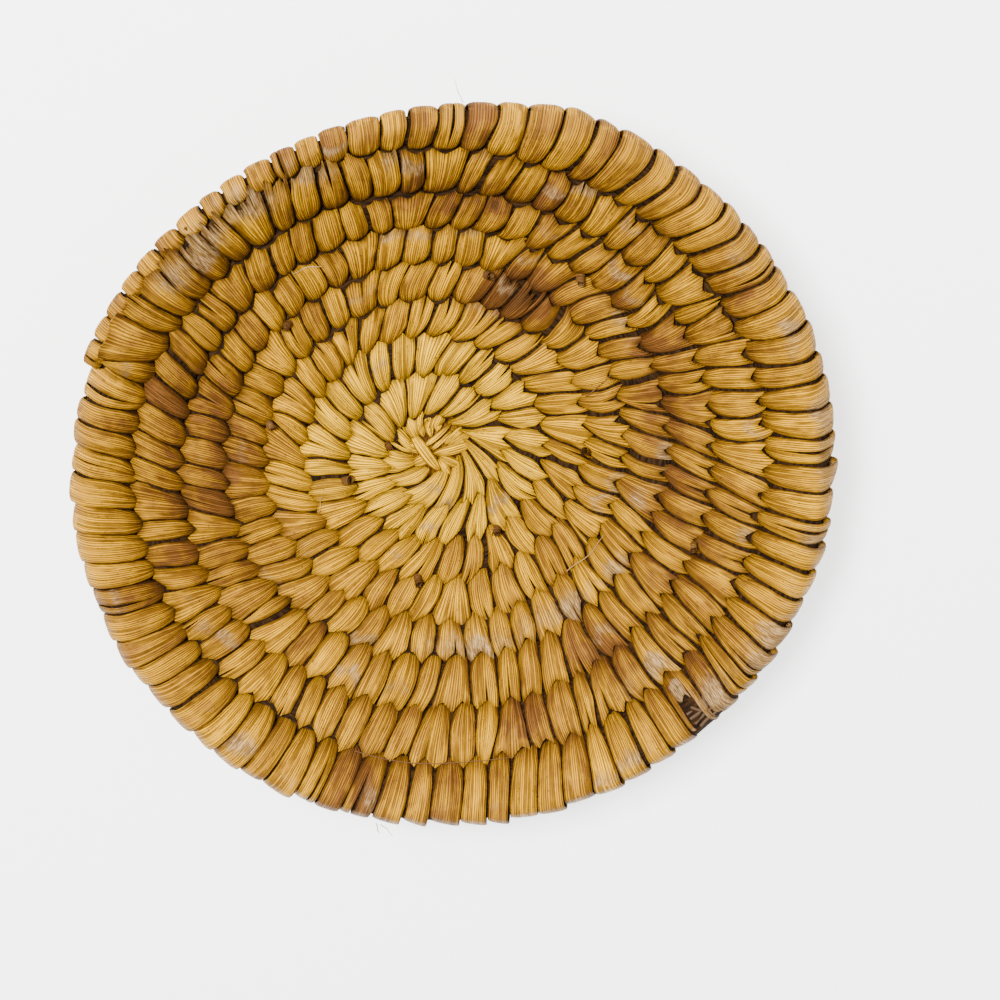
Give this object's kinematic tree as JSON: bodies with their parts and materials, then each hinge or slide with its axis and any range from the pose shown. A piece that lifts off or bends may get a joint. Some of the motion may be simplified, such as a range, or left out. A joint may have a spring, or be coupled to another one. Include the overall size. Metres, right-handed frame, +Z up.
{
  "type": "coiled basket bowl",
  "caption": "Shallow round bowl of coiled basketry: a grass bundle wound in a spiral and sewn with leaf splints, to hold small dry things.",
  "frame": {"origin": "middle of the outline on the surface that the bowl stands on", "axes": "+Z up through the open mouth; the coil's outer end lies at -X +Y"},
  "size_m": [0.2026, 0.2054, 0.0442],
  "materials": {
    "splint_straw": "satin",
    "splint_ochre": "satin",
    "grass_bundle": "matte",
    "dry_end": "matte"
  },
  "bodies": {
    "root": {"start_knot": "splint_straw", "foundation_bundle": "grass_bundle", "splint_01": "splint_straw", "splint_02": "splint_straw", "splint_03": "splint_straw", "splint_04": "splint_straw", "splint_05": "splint_straw", "splint_06": "splint_straw", "splint_07": "splint_straw", "splint_08": "splint_ochre", "splint_09": "splint_ochre", "splint_10": "splint_ochre", "splint_11": "splint_ochre", "splint_12": "splint_ochre", "splint_13": "splint_ochre", "splint_14": "splint_ochre", "splint_15": "splint_ochre", "splint_16": "splint_ochre", "splint_17": "splint_ochre", "splint_18": "splint_ochre", "splint_19": "splint_ochre", "splint_20": "splint_ochre", "splint_21": "splint_ochre", "splint_22": "splint_ochre", "splint_23": "splint_ochre", "splint_24": "splint_ochre", "splint_25": "splint_ochre", "splint_26": "splint_ochre", "splint_27": "splint_ochre", "splint_28": "splint_ochre", "splint_29": "splint_ochre", "splint_30": "splint_ochre", "splint_31": "splint_ochre", "splint_32": "splint_ochre", "splint_33": "splint_ochre", "splint_34": "splint_ochre", "clipped_end_01": "dry_end", "clipped_end_02": "dry_end", "clipped_end_03": "dry_end", "clipped_end_04": "dry_end", "clipped_end_05": "dry_end", "clipped_end_06": "dry_end", "clipped_end_07": "dry_end", "clipped_end_08": "dry_end", "clipped_end_09": "dry_end", "clipped_end_10": "dry_end"}
  },
  "joints": []
}
